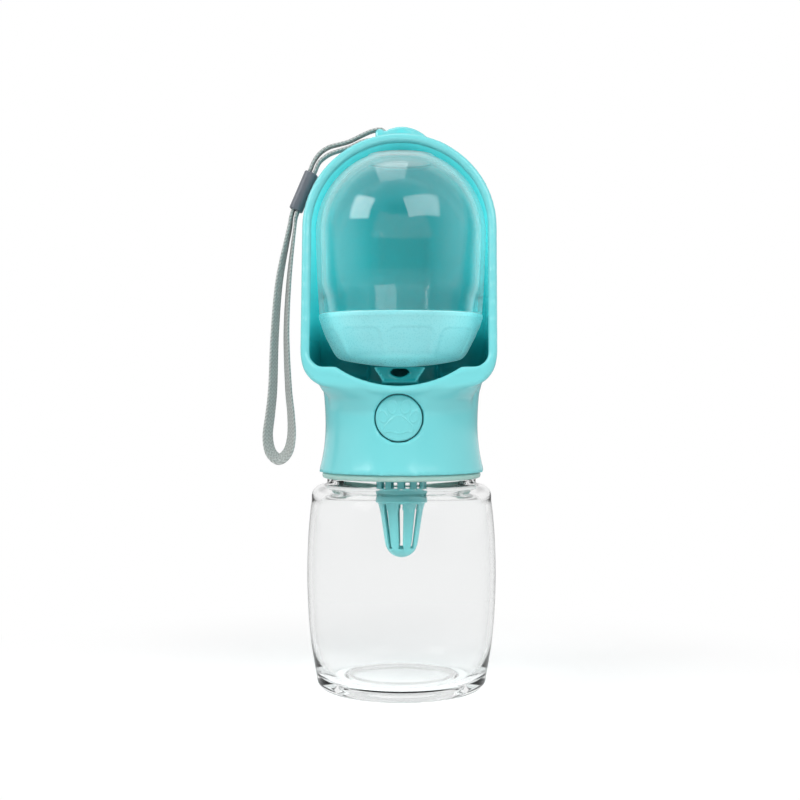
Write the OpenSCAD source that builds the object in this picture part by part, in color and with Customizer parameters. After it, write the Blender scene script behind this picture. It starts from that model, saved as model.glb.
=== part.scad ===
// Travel water bottle for dogs. A clear bottle hangs a filter from a screwed-on head.
// The head has a hooded scoop that holds a clear food cup, and a push button that
// lets water run from the bottle into the trough below the cup.
// Z is up, the scoop opens towards -Y, and the origin is the centre of the bottle's foot.

/* [Bottle] */
// Largest radius of the bottle's barrel
bottle_r = 37.6; // [36.8:0.1:38.4]
// Height of the collar that the sealing ring sits on
collar_z = 83.6; // [83.4:0.1:84]
// Radius of the collar below the sealing ring
collar_r = 29.6; // [29.2:0.1:30.2]
// Outer radius of the bottle's mouth
finish_r = 25.8; // [25.4:0.1:26]
// Wall thickness of the bottle
bottle_wall = 1.9; // [1.4:0.1:2.2]

/* [Head] */
// Height of the lower edge of the skirt, above the sealing ring
skirt_z = 86; // [85.6:0.1:86.2]
// Radius of the waist at its narrowest
waist_r = 30.35; // [30.2:0.05:30.6]
// Height of the narrowest place of the waist
waist_z = 104.5; // [103:0.5:106]
// Half the width of the hooded scoop
hood_r = 37; // [36.9:0.1:37.4]
// Height of the centre of the hood's round top
hood_z = 180.2; // [180:0.1:182]
// Radius of the scoop's two lower corners
corner_r = 12; // [11:0.5:12]
// Wall thickness of the scoop
hood_wall = 2.9; // [2.7:0.1:2.9]
// How far the back wall lies behind the bottle's axis
hood_back = 29.5; // [29:0.5:31]
// How far the trough's lip lies before the bottle's axis
lip_front = 34; // [33.5:0.5:34.5]
// Slant of the scoop's rim in degrees, its top further back
rim_slant = 7.5; // [6:0.5:8]

/* [Button] */
// Height of the button's axis
button_z = 107.8; // [107.6:0.1:108]
// Radius of the button's cap
button_r = 8.85; // [8.4:0.05:8.95]

/* [Food cup] */
// How far the cup's axis lies before the bottle's axis
cup_front = 8; // [7:0.5:9]
// Largest radius of the clear dome
dome_r = 33.4; // [33:0.1:33.5]
// Height of the dome's flat top
dome_top = 210.9; // [210:0.1:211]
// Height of the joint between the dome and its lid
cup_joint_z = 148; // [147.5:0.1:148.5]
// Wall thickness of the dome
dome_wall = 1.8; // [1.4:0.1:2]

/* [Wrist strap] */
// Width of the flat braided strap
strap_w = 5; // [4.6:0.1:5]
// Thickness of the strap
strap_t = 1.2; // [1:0.1:1.2]

/* [Hidden] */
$fn = 96;

TEAL = [0.50, 0.86, 0.88];
DEEP_TEAL = [0.27, 0.76, 0.78];
CLEAR = [0.90, 0.95, 0.96, 0.35];
MINT = [0.69, 0.83, 0.81];
SILICONE = [0.92, 0.94, 0.94];
STEEL = [0.75, 0.76, 0.78];
SLIDER_GREY = [0.43, 0.45, 0.50];
STRAP_GREY = [0.72, 0.72, 0.70];

// Head: the cavity in the neck, and the trough above it
cavity_r = 28.7;
cavity_top = 116.8;
neck_top = 119.6;
corner_z = 131.2;
corner_x = hood_r - corner_r;
trough_floor = 119.3;
dam_back_y = -30.2;
lip_low_z = 120;
lip_arc_r = 41.8;
ledge_z = 127.3;
bead_r = 1.8;
bead_proud = 0.35;
bead_step = 0.02;
rim_z = 125;
opening_corner_r = 5.5;
sleeve_r = button_r + 0.4;
sleeve_wall = 1.6;
sleeve_back_y = -22;

// Spout in the trough
outlet_y = -9.3;
spout_top = 127.2;
spout_front_y = -21.5;
mouth_roof = 126.4;
mouth_arc_r = 5.04;
mouth_low = 123.4;

// Valve, along the button's axis
valve_r = 7.9;
chamber_r = 6.2;
valve_front_y = -17;
valve_front_wall = 3.4;
valve_back_y = 13;
seat_y = -5;
seat_wall = 1.5;
seat_hole_r = 3.6;
stem_r = 1.5;
stem_fit = 0.05;
port_r = 3.4;
port_wall = 1.8;
inlet_y = 2;
pad_top = 115.9;
partition_z = 96.8;
partition_t = 1.6;
cap_front_y = -30.75;
cap_inner_y = -28;

// Filter
spigot_r = 8.9;
filter_bore_r = 9;
filter_r = 10;
filter_high = 95;
filter_low = 51.8;
filter_wall = 1.1;

// Food cup
lid_r = 32.2;
lid_low = 127.6;
lid_bore_r = 30.3;
lid_bore_z = 144;
seal_z = 145.6;
seal_groove = 0.65;
mouth_r = 32;
dome_spigot_r = 29.9;
panel_count = 9;
panel_turn = 40;
panel_deep = 0.3;

// Strap eyelet on top of the hood
strap_y = -10;
bar_x = -8;
bar_z = 218.6;
bar_r = 1.2;
cheek_r = 2;
eyelet_half_w = 4.6;
pocket_half_w = 3;

// Slider: its upper end, its length and lean, and the distance between the strands in it
slider_top = [-35, strap_y, 203.8];
slider_len = 16;
slider_lean = 23.4;
strand_gap = 1.9;
slider_gap = 0.3;

// Route of the strap's middle line in the plane Y = strap_y, as [x, z, lean of the band].
// It starts and ends behind the eyelet's bar, where its ends are sewn together,
// runs down through the slider and hangs in one loop.
strap_route = [
    [-5.9, 218.4, 0], [-6.5, 217.1, 0], [-8.0, 216.5, 0], [-11.4, 216.7, 0],
    [-15.4, 215.9, 0], [-20.0, 213.8, 0], [-24.2, 212.5, 0], [-27.6, 211.3, 0], [-30.3, 209.6, 0],
    [-32.3, 207.5, 0], [-34.1, 203.4, 0], [-40.5, 188.7, 0], [-41.8, 181.4, -8], [-44.0, 161.6, -20],
    [-45.0, 140.6, -26], [-44.2, 119.4, -32], [-43.2, 109.0, -36], [-43.0, 100.4, -44],
    [-44.4, 94.2, -54], [-47.8, 91.2, -60], [-51.2, 94.0, -54], [-52.4, 100.4, -44],
    [-51.4, 109.0, -38], [-50.4, 119.4, -34], [-49.6, 140.6, -28], [-47.8, 161.6, -22],
    [-43.9, 181.4, -8], [-42.2, 189.5, 0], [-35.9, 204.2, 0], [-34.1, 208.4, 0], [-31.6, 211.7, 0],
    [-28.2, 213.9, 0], [-24.2, 215.0, 0], [-20.0, 216.2, 0], [-15.4, 218.4, 0], [-11.4, 220.1, 0],
    [-8.0, 220.7, 0], [-6.5, 220.1, 0], [-5.9, 218.8, 0]
];

// Points of a circular arc about (cx, cy), from angle a0 to angle a1
function arc(cx, cy, r, a0, a1, n) =
    [for (i = [0 : n]) let (a = a0 + (a1 - a0) * i / n) [cx + r * cos(a), cy + r * sin(a)]];

// The point at share t between b and c, on the smooth curve through a, b, c and d
function between(a, b, c, d, t) =
    0.5 * (2 * b + (c - a) * t + (2 * a - 5 * b + 4 * c - d) * t * t
    + (3 * b - a - 3 * c + d) * t * t * t);

// Smooth curve through the points p, with n steps from each point to the next
function smooth_curve(p, n) = let (last = len(p) - 1) [
    for (i = [0 : last - 1]) for (k = [0 : n - 1])
        between(p[max(i - 1, 0)], p[i], p[i + 1], p[min(i + 2, last)], k / n),
    p[last]
];

function unit(v) = v / norm(v);

// A body of revolution about Z from its half outline, as [radius, height] points
module turned(points) rotate_extrude() polygon(points);

// A cylinder along Y from y0 to y1
module along_y(r, y0, y1, x = 0, z = 0) {
    translate([x, y0, z]) rotate([-90, 0, 0]) cylinder(h = y1 - y0, r = r);
}

// A closed tube from rings of points, all rings with the same number of points
module ring_tube(rings) {
    n = len(rings[0]);
    last = len(rings) - 1;
    sides = [for (i = [0 : last - 1]) for (k = [0 : n - 1]) let (a = i * n + k, b = i * n + (k + 1) % n)
        each [[a, b, b + n], [a, b + n, a + n]]];
    ends = [[for (k = [n - 1 : -1 : 0]) k], [for (k = [0 : n - 1]) last * n + k]];
    polyhedron([for (ring = rings) each ring], concat(sides, ends), convexity = 8);
}

// ---- Bottle: blown clear barrel with a thick foot, a pushed-up base and a collar

bottle_outside = concat(
    [[22, 0], [29, 0]],
    arc(29.5, 4.2, 4.2, -75, -12, 5),
    smooth_curve([[34.1, 6.4], [34.9, 11], [36.1, 19], [37.1, 30], [bottle_r, 45], [37.3, 58],
        [36.6, 68], [35.8, 74.6]], 4),
    arc(31.4, 76.4, 4.4, 2, 88, 9),
    [[collar_r, 81.4], [collar_r, collar_z], [finish_r, collar_z], [finish_r, 96.1],
     [finish_r - 0.4, 96.5]]
);

bottle_inside = concat(
    [[finish_r - 1.9, 96.5], [finish_r - 2.3, 96.1], [finish_r - 2.3, 83.6]],
    smooth_curve([[finish_r - 2.3, 82.6], [25.4, 80.2], [29.6, 78.6], [32.6, 75.8],
        [bottle_r - bottle_wall - 1.4, 69], [bottle_r - bottle_wall - 0.4, 58],
        [bottle_r - bottle_wall, 46], [bottle_r - bottle_wall - 0.6, 30], [34, 18],
        [32, 10], [29.4, 5.8], [26, 4]], 3),
    [[22.6, 3.9], [21.2, 4.9], [19, 5.4], [0, 5.8]]
);

bottle_under = [[0, 3.2], [19, 2.8], [21, 2.2]];

module bottle() {
    color(CLEAR) turned(concat(bottle_under, bottle_outside, bottle_inside));
}

// Sealing ring between the collar and the head's skirt
module neck_gasket() {
    color(MINT) difference() {
        union() {
            translate([0, 0, collar_z]) cylinder(h = skirt_z - collar_z, r = 31.4);
            translate([0, 0, collar_z + 0.4]) cylinder(h = skirt_z - collar_z - 0.8, r = 31.7);
        }
        translate([0, 0, collar_z - 1]) cylinder(h = 5, r = finish_r + 0.4);
    }
}

// ---- Head shell: waisted neck, trough and hooded scoop in one moulding

// Half outline of the neck, hollowed by two large arcs that meet at the waist
module neck_outline() {
    lower_r = 66;
    upper_r = 116;
    difference() {
        translate([0, skirt_z]) square([waist_r + 5, neck_top - skirt_z]);
        difference() {
            translate([waist_r + lower_r, waist_z]) circle(r = lower_r, $fn = 360);
            translate([0, waist_z]) square([200, 200]);
        }
        difference() {
            translate([waist_r + upper_r, waist_z]) circle(r = upper_r, $fn = 720);
            translate([0, waist_z - 200]) square([200, 200]);
        }
    }
}

// Half of a block in plan, from its middle line to its side, with a round back corner
module half_plan(half, back_r, y0, y1) {
    translate([0, y0]) square([half, y1 - back_r - y0]);
    translate([0, y0]) square([half - back_r + 0.001, y1 - y0]);
    intersection() {
        translate([half - back_r, y1 - back_r]) circle(r = back_r);
        translate([0, y0]) square([half, y1 - y0]);
    }
}

// The scoop as a solid block, with a round top, round lower corners and a round back
module scoop_block(inset, y0, y1) {
    half = hood_r - inset;
    low_r = corner_r - inset;
    // Round top
    translate([0, 0, hood_z]) rotate([-90, 0, 0]) rotate([0, 0, 180])
        rotate_extrude(angle = 180) half_plan(half, low_r, y0, y1);
    // Sides
    translate([0, 0, corner_z]) linear_extrude(hood_z - corner_z) {
        half_plan(half, low_r, y0, y1);
        mirror([1, 0]) half_plan(half, low_r, y0, y1);
    }
    // Lower corners
    for (side = [0, 1]) translate([corner_x * (1 - 2 * side), 0, corner_z])
        rotate([-90, 0, 0]) rotate([0, 0, 90 * side])
        rotate_extrude(angle = 90) half_plan(low_r, low_r, y0, y1);
    // Bottom
    translate([-corner_x, 0, corner_z]) rotate([90, 0, 90]) linear_extrude(2 * corner_x) {
        translate([y0, -low_r]) square([y1 - low_r - y0, low_r]);
        intersection() {
            translate([y1 - low_r, 0]) circle(r = low_r);
            translate([y0, -low_r]) square([y1 - y0, low_r]);
        }
    }
}

// Moves its children into the rim's slanted plane: X across, Z up the rim, Y into the scoop
module on_rim() {
    translate([0, bead_r - lip_front, rim_z]) rotate([-rim_slant, 0, 0]) children();
}

// Part of a round bead about a centre in the rim's plane, from angle a0 to angle a1.
// It is bead_step thinner than the straight parts, so that no two ends are one face.
module rim_arc(x, z, r, a0, a1) {
    translate([x, 0, z - rim_z]) rotate([90, 0, 0]) rotate([0, 0, a0])
        rotate_extrude(angle = a1 - a0) translate([r, 0]) circle(r = bead_r - bead_step, $fn = 48);
}

// Straight part of the bead, from one point of the rim's plane to another
module rim_line(x0, z0, x1, z1) {
    turn = atan2(x1 - x0, z1 - z0);
    translate([x0, 0, z0 - rim_z]) rotate([0, turn, 0])
        cylinder(h = norm([x1 - x0, z1 - z0]), r = bead_r, $fn = 48);
}

// Rounded lip round the whole opening of the scoop
module rim_bead() {
    mid = hood_r - bead_r + bead_proud;
    top_z = rim_z + (hood_z - rim_z) / cos(rim_slant) + 0.25;
    in_r = opening_corner_r + bead_r;
    in_x = mid - in_r;
    low = ledge_z - bead_r;
    in_z = low + in_r;
    arc_z = lip_low_z + lip_arc_r;
    arc_r = lip_arc_r + bead_r;
    arc_x = sqrt(arc_r * arc_r - (arc_z - low) * (arc_z - low));
    swing = asin(arc_x / arc_r);
    on_rim() {
        rim_arc(0, top_z, mid, 0, 180);
        rim_arc(0, arc_z, arc_r, 270 - swing, 270 + swing);
        for (s = [-1, 1]) {
            rim_line(s * mid, in_z, s * mid, top_z);
            rim_line(s * arc_x, low, s * in_x, low);
            translate([s * arc_x, 0, low - rim_z]) sphere(r = bead_r - 0.05, $fn = 48);
        }
        rim_arc(in_x, in_z, in_r, 270, 360);
        rim_arc(-in_x, in_z, in_r, 180, 270);
    }
}

// Front face of the trough below the bead, down to the scoop's round lower corners
module lip_plate() {
    inset = 0.5;
    in_x = hood_r - 2 * bead_r + bead_proud - opening_corner_r;
    low = ledge_z - bead_r;
    in_r = opening_corner_r + bead_r;
    on_rim() translate([0, 0, -rim_z]) rotate([90, 0, 0]) linear_extrude(bead_r - bead_proud) difference() {
        union() {
            translate([-corner_x, corner_z - corner_r + inset]) square([2 * corner_x, corner_r]);
            translate([inset - hood_r, corner_z]) square([2 * (hood_r - inset), 2]);
            for (s = [-1, 1]) translate([s * corner_x, corner_z]) circle(r = corner_r - inset);
        }
        translate([-in_x, low]) square([2 * in_x, 20]);
        translate([-hood_r, low + in_r]) square([2 * hood_r, 20]);
        for (s = [-1, 1]) translate([s * in_x, low + in_r]) circle(r = in_r);
        translate([0, lip_low_z + lip_arc_r]) circle(r = lip_arc_r + bead_r, $fn = 240);
    }
}

// Everything before the rim's plane
module before_rim() {
    on_rim() translate([-60, -60, -60]) cube([120, 60, 200]);
}

// The trough's front wall, whose top is the ledge and the hollow lip
module dam() {
    translate([0, dam_back_y, 0]) rotate([90, 0, 0]) linear_extrude(10) difference() {
        translate([-40, 100]) square([80, ledge_z - bead_proud - 100]);
        translate([0, lip_low_z + lip_arc_r]) circle(r = lip_arc_r + bead_proud, $fn = 240);
    }
}

// Two round discs side by side, whose front lies on the plane Y = -front
module disc_pair(z, r, x, front) {
    for (s = [-1, 1]) translate([s * x, r - front, z]) cylinder(h = 0.4, r = r, $fn = 48);
}

// Blend from the neck's front out to the trough's lip, steeper below than above
module front_blend() {
    hull() {
        translate([0, 0, 109.6]) cylinder(h = 0.4, r = waist_r - 0.3, $fn = 48);
        disc_pair(115.2, 20, 8, waist_r + 1.35);
    }
    hull() {
        disc_pair(114.8, 19.7, 8, waist_r + 1.1);
        disc_pair(neck_top - 0.2, 10, 20.5, lip_front + 0.2);
    }
}

// Blend from the round neck up to the scoop's back
module back_blend() {
    hull() {
        translate([0, 0, neck_top - 0.6]) cylinder(h = 1, r = waist_r + 1.4, $fn = 64);
        translate([0, 0, corner_z + 6]) linear_extrude(0.5) {
            half_plan(hood_r - 4, corner_r, -20, hood_back - 0.2, $fn = 48);
            mirror([1, 0]) half_plan(hood_r - 4, corner_r, -20, hood_back - 0.2, $fn = 48);
        }
    }
}

// Raised eyelet on the hood's top: a rounded block with two cheeks
module eyelet() {
    loaf_r = 14;
    loaf_top = 221.2;
    translate([0, strap_y, 0]) {
        difference() {
            along_y(loaf_r, -eyelet_half_w, eyelet_half_w, x = 0.5, z = loaf_top - loaf_r);
            translate([-30, -10, 180]) cube([60, 20, 26]);
        }
        along_y(cheek_r, -eyelet_half_w, eyelet_half_w, x = bar_x, z = bar_z);
    }
}

// Pocket between the cheeks, open at its left end and above
module eyelet_pocket() {
    translate([-15, strap_y - pocket_half_w, 215.5]) cube([10.4, 2 * pocket_half_w, 10]);
}

module eyelet_bar() {
    along_y(bar_r, strap_y - pocket_half_w - 0.5, strap_y + pocket_half_w + 0.5, x = bar_x, z = bar_z);
}

// Outline of the spout's front plate
module tongue_outline() {
    polygon(concat(
        arc(-4.4, 125.7, 4, 205, 270, 6), arc(4.4, 125.7, 4, -90, -25, 6),
        [[10.3, spout_top], [-10.3, spout_top]]
    ));
}

// Water spout that stands in the trough under the food cup
module spout() {
    translate([0, spout_front_y + 2, 0]) rotate([90, 0, 0]) linear_extrude(2) tongue_outline();
    translate([-7, spout_front_y + 1, cavity_top]) cube([14, 15.5, spout_top - cavity_top]);
}

// Its passage: up from the valve, then forwards through a half-round mouth
module spout_passage() {
    translate([0, outlet_y, cavity_top - 1]) cylinder(h = mouth_roof - cavity_top + 1, r = port_r);
    intersection() {
        along_y(mouth_arc_r, spout_front_y - 1, outlet_y, z = mouth_low + mouth_arc_r);
        translate([-10, spout_front_y - 1, 120]) cube([20, 20, mouth_roof - 120]);
    }
}

module head_shell() {
    color(TEAL) difference() {
        union() {
            difference() {
                union() {
                    difference() {
                        union() {
                            scoop_block(0, -lip_front - 2, hood_back);
                            back_blend();
                        }
                        before_rim();
                    }
                    lip_plate();
                    front_blend();
                    rotate_extrude() neck_outline();
                    eyelet();
                }
                difference() {
                    scoop_block(hood_wall, -lip_front - 6, hood_back - hood_wall);
                    dam();
                }
                // Hollow floor of the trough, and the hollow of its lip
                intersection() {
                    union() {
                        along_y(lip_low_z + lip_arc_r - trough_floor, dam_back_y, 17,
                            z = lip_low_z + lip_arc_r);
                        along_y(lip_arc_r + 0.1, -lip_front - 6, dam_back_y + 1, z = lip_low_z + lip_arc_r);
                    }
                    translate([-30, -45, 100]) cube([60, 80, 24]);
                }
                translate([0, 0, skirt_z - 1]) cylinder(h = cavity_top - skirt_z + 1, r = cavity_r);
                eyelet_pocket();
            }
            eyelet_bar();
            rim_bead();
            spout();
            // Shelf and ribs on the back wall that steady the food cup
            translate([-14, 14, 120]) cube([28, 13.5, 9.6]);
            for (s = [-1, 1]) translate([s * 11 - 1, 25.9, 125]) cube([2, 1.6, 59]);
            // Sleeve of the button
            intersection() {
                along_y(sleeve_r + sleeve_wall, -29.5, sleeve_back_y, z = button_z);
                translate([0, 0, partition_z + partition_t + 0.3]) cylinder(h = 19.2, r = cavity_r + 0.5);
            }
        }
        spout_passage();
        along_y(sleeve_r, -40, sleeve_back_y + 1, z = button_z);
    }
}

// ---- Inside the neck

// Threaded insert: skirt round the bottle's mouth, a partition and the filter's spigot
module neck_insert() {
    skirt_low = skirt_z + 0.6;
    color(DEEP_TEAL) difference() {
        union() {
            translate([0, 0, skirt_low])
                cylinder(h = partition_z + partition_t - skirt_low, r = cavity_r - 0.1);
            translate([0, 0, 87]) cylinder(h = 11, r = spigot_r);
        }
        difference() {
            translate([0, 0, skirt_low - 1]) cylinder(h = partition_z - skirt_low + 1, r = finish_r + 1.4);
            cylinder(h = 200, r = spigot_r);
        }
        translate([0, 0, 80]) cylinder(h = partition_z - 80, r = spigot_r - 1.6);
        translate([0, inlet_y, 90]) cylinder(h = 20, r = port_r);
        // Groove of the filter's sealing ring
        translate([0, 0, 90]) difference() {
            cylinder(h = 1.6, r = spigot_r + 2);
            cylinder(h = 1.6, r = spigot_r - 0.8);
        }
    }
}

// Valve housing: a tube along the button's axis with two chambers and a seat between them
module valve_body() {
    color(DEEP_TEAL) difference() {
        union() {
            along_y(valve_r, valve_front_y, valve_back_y, z = button_z);
            translate([0, inlet_y, partition_z + partition_t])
                cylinder(h = button_z - partition_z - partition_t, r = port_r + port_wall);
            translate([0, outlet_y, button_z]) cylinder(h = pad_top - button_z, r = port_r + port_wall);
        }
        along_y(chamber_r, valve_front_y + valve_front_wall, seat_y, z = button_z);
        along_y(chamber_r, seat_y + seat_wall, valve_back_y + 1, z = button_z);
        along_y(seat_hole_r, seat_y - 1, seat_y + seat_wall + 1, z = button_z);
        along_y(stem_r + stem_fit, valve_front_y - 1, 0, z = button_z);
        along_y(2.8, valve_front_y - 1, valve_front_y + 1.8, z = button_z);
        translate([0, inlet_y, 90]) cylinder(h = button_z - 90, r = port_r);
        translate([0, outlet_y, button_z]) cylinder(h = 20, r = port_r);
    }
}

module valve_end_cap() {
    color(DEEP_TEAL) difference() {
        union() {
            along_y(valve_r, valve_back_y, valve_back_y + 1.6, z = button_z);
            along_y(chamber_r, valve_back_y - 2.5, valve_back_y + 0.5, z = button_z);
        }
        along_y(chamber_r - 1.5, valve_back_y - 3, valve_back_y, z = button_z);
    }
}

// Ring that seals the stem in the valve's front wall
module stem_seal() {
    color(SILICONE) difference() {
        along_y(2.8, valve_front_y, valve_front_y + 1.8, z = button_z);
        along_y(stem_r + stem_fit, valve_front_y - 1, valve_front_y + 3, z = button_z);
    }
}

// Ring between the valve's outlet and the trough's floor
module outlet_seal() {
    color(SILICONE) translate([0, outlet_y, pad_top]) difference() {
        cylinder(h = cavity_top - pad_top, r = port_r + port_wall);
        translate([0, 0, -1]) cylinder(h = 3, r = port_r);
    }
}

// Return spring between the valve's front wall and the cap, one closed end turn on each side
spring_curls = 6;
spring_steps = 8;
spring_r = 3.3;
spring_wire_r = 0.35;
spring_from = cap_inner_y + spring_wire_r;
spring_to = valve_front_y - spring_wire_r;
spring_points = [for (i = [0 : spring_curls * spring_steps]) let (t = i / (spring_curls * spring_steps))
    [spring_r * cos(360 * spring_curls * t), spring_from + (spring_to - spring_from) * t,
     button_z + spring_r * sin(360 * spring_curls * t)]];
spring_gap = min([for (i = [0 : len(spring_points) - 1]) for (j = [i + 4 : 1 : len(spring_points) - 1])
    norm(spring_points[i] - spring_points[j])]) - 2 * spring_wire_r;
echo(least_gap_of_return_spring = spring_gap);

module return_spring() {
    count = len(spring_points);
    color(STEEL) ring_tube([for (i = [0 : count - 1])
        let (p = spring_points[i], turn = 360 * i / spring_steps, out = [cos(turn), 0, sin(turn)])
        [for (k = [0 : 5]) p + spring_wire_r * (out * cos(60 * k) + [0, 1, 0] * sin(60 * k))]]);
}

// ---- Push button

// Four toes and a round-cornered pad, raised on the cap
module paw_outline() {
    for (toe = [[-4.7, 0.6, 1.15], [-1.8, 3.3, 1.35], [1.8, 3.3, 1.35], [4.7, 0.6, 1.15]])
        translate([toe[0], toe[1]]) circle(r = toe[2], $fn = 32);
    translate([0, -1.7]) circle(r = 2.3, $fn = 32);
    translate([-1.7, -3]) circle(r = 1.5, $fn = 32);
    translate([1.7, -3]) circle(r = 1.5, $fn = 32);
}

module button_cap() {
    color(TEAL) {
        difference() {
            intersection() {
                along_y(button_r, -40, -24, z = button_z);
                translate([0, 0, 90]) cylinder(h = 40, r = -cap_front_y);
            }
            along_y(button_r - 1.5, cap_inner_y, -20, z = button_z);
        }
        // Relief of a paw
        intersection() {
            translate([0, -20, button_z]) rotate([90, 0, 0]) linear_extrude(20) paw_outline();
            difference() {
                translate([0, 0, 90]) cylinder(h = 40, r = -cap_front_y + 0.25);
                translate([0, 0, 80]) cylinder(h = 60, r = -cap_front_y - 0.5);
            }
        }
        // Socket of the stem
        difference() {
            along_y(2.6, cap_inner_y - 0.5, cap_inner_y + 3.5, z = button_z);
            along_y(stem_r, cap_inner_y, cap_inner_y + 5, z = button_z);
        }
    }
}

// Stem from the cap to the plug, with a head that holds the plug
module valve_stem() {
    color(STEEL) {
        along_y(stem_r, cap_inner_y, 1.3, z = button_z);
        along_y(2.3, 0.5, 1.3, z = button_z);
    }
}

// Soft plug that closes the seat from behind
module valve_plug() {
    color(SILICONE) difference() {
        union() {
            along_y(5, seat_y + seat_wall + 0.02, 0.5, z = button_z);
            translate([0, seat_y + seat_wall + 0.1, button_z]) rotate([90, 0, 0])
                cylinder(h = 1.1, r1 = 3.3, r2 = 2.6);
        }
        along_y(stem_r, -10, 2, z = button_z);
    }
}

// ---- Filter

// Slotted basket that is pushed onto the insert's spigot
module filter_basket() {
    band_low = 76.4;
    band_high = 80.2;
    nose_r = 6.6;
    outside = concat(
        [[0, filter_low]],
        arc(0, filter_low + nose_r, nose_r, -75, -5, 7),
        [[6.9, 59.5], [8.6, 71], [9.4, band_low], [filter_r, band_low], [filter_r + 0.3, band_low + 0.5],
         [filter_r + 0.3, band_high - 0.5], [filter_r, band_high], [filter_r, filter_high]]
    );
    inside = concat(
        [[filter_bore_r, filter_high], [filter_bore_r, band_low + 1], [8.3, band_low], [7.5, 71],
         [5.8, 59.5]],
        arc(0, filter_low + nose_r, nose_r - filter_wall, -5, -75, 7),
        [[0, filter_low + filter_wall]]
    );
    color(DEEP_TEAL) difference() {
        turned(concat(outside, inside));
        for (turn = [0 : 45 : 135]) rotate([0, 0, turn]) translate([-0.95, -20, 55.6])
            cube([1.9, 40, band_low - 0.8 - 55.6]);
        for (turn = [0 : 30 : 150]) rotate([0, 0, turn + 15]) translate([-1.5, -20, 81.6])
            cube([3, 40, 3.2]);
    }
}

module filter_seal() {
    color(MINT) translate([0, 0, 90.05]) difference() {
        cylinder(h = 1.5, r = filter_bore_r - 0.02);
        translate([0, 0, -1]) cylinder(h = 4, r = spigot_r - 0.78);
    }
}

// ---- Food cup: a bowl-shaped lid that closes the clear dome from below

module at_cup() translate([0, -cup_front, 0]) children();

// Outside of the lid, from the middle of its bulged bottom to its rim
lid_outside = concat(
    [for (r = [0 : 4 : 20]) [r, lid_low + r * r / 204]],
    [[23, 130.2], [24.6, 131], [25.7, 132.2]],
    [[28, 136], [29.6, 139.2], [30.9, 142.6], [31.8, 146], [lid_r, 146.4]]
);

// One grip panel's outline, across and up: a plate that narrows towards the lid's bottom
module panel_outline() {
    half_high = 8.4;
    half_low = 6.6;
    low = 133.6;
    high = 141.9;
    corner = 2;
    polygon(concat(
        arc(corner - half_low, low + corner, corner, 200, 270, 4),
        arc(half_low - corner, low + corner, corner, -90, -20, 4),
        arc(half_high - corner, high - corner, corner, 0, 90, 4),
        arc(corner - half_high, high - corner, corner, 90, 180, 4)
    ));
}

module food_lid() {
    wall = 2;
    at_cup() color(TEAL) difference() {
        turned(concat(
            lid_outside,
            [[lid_r, cup_joint_z - 0.3], [lid_r - 0.3, cup_joint_z], [lid_bore_r, cup_joint_z],
             [lid_bore_r, lid_bore_z], [lid_bore_r - 2, lid_bore_z - 0.4], [26, 136], [23.6, 133],
             [20, 132], [0, lid_low + wall]]
        ));
        // Groove of the sealing ring
        translate([0, 0, seal_z]) cylinder(h = 1.2, r = lid_bore_r + seal_groove);
        // Shallow grip panels round the outside
        difference() {
            for (i = [0 : panel_count - 1]) rotate([0, 0, i * 360 / panel_count + panel_turn])
                translate([20, 0, 0]) rotate([90, 0, 90]) linear_extrude(14) panel_outline();
            turned([for (p = concat(lid_outside, [[lid_r, cup_joint_z], [0, cup_joint_z]]))
                [max(p[0] - panel_deep, 0), p[1]]]);
        }
    }
}

module lid_seal() {
    at_cup() color(SILICONE) translate([0, 0, seal_z + 0.02]) difference() {
        cylinder(h = 1.16, r = lid_bore_r + seal_groove - 0.02);
        translate([0, 0, -1]) cylinder(h = 4, r = dome_spigot_r + 0.05);
    }
}

module food_dome() {
    arc_x = 0.7;
    arc_r = dome_r - arc_x;
    arc_z = dome_top - 30.9;
    mouth_z = cup_joint_z + 0.05;
    at_cup() color(CLEAR) turned(concat(
        [[0, dome_top], [12.5, dome_top]],
        arc(arc_x, arc_z, arc_r, 66, 0, 12),
        [[dome_r - 0.15, 172], [dome_r - 0.65, 160], [mouth_r, mouth_z + 0.4], [mouth_r - 0.3, mouth_z]],
        // Spigot that stands in the lid's bore
        [[dome_spigot_r, mouth_z], [dome_spigot_r, lid_bore_z + 0.4], [dome_spigot_r - 1.5, lid_bore_z + 0.4],
         [dome_spigot_r - 1.5, mouth_z + 1], [dome_r - dome_wall - 0.65, 160],
         [dome_r - dome_wall - 0.15, 172]],
        arc(arc_x, arc_z, arc_r - dome_wall, 0, 66, 12),
        [[12, dome_top - dome_wall], [0, dome_top - dome_wall]]
    ));
}

// ---- Wrist strap

// Short barrel that both strands run through
module strap_slider() {
    half_w = 2.7;
    half_d = 4.1;
    bore_w = strand_gap + strap_t + 2 * slider_gap;
    bore_d = strap_w + 2 * slider_gap;
    color(SLIDER_GREY) translate(slider_top) rotate([0, slider_lean, 0]) translate([0, 0, -slider_len])
        difference() {
            union() {
                translate([0, 0, 0.5]) linear_extrude(slider_len - 1) barrel_outline(half_w, half_d);
                linear_extrude(slider_len) barrel_outline(half_w - 0.4, half_d - 0.4);
            }
            translate([-bore_w / 2, -bore_d / 2, -1]) cube([bore_w, bore_d, slider_len + 2]);
        }
}

module barrel_outline(half_w, half_d) {
    translate([-half_w, half_w - half_d]) square([2 * half_w, 2 * (half_d - half_w)]);
    for (s = [-1, 1]) translate([0, s * (half_d - half_w)]) circle(r = half_w, $fn = 48);
}

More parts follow.
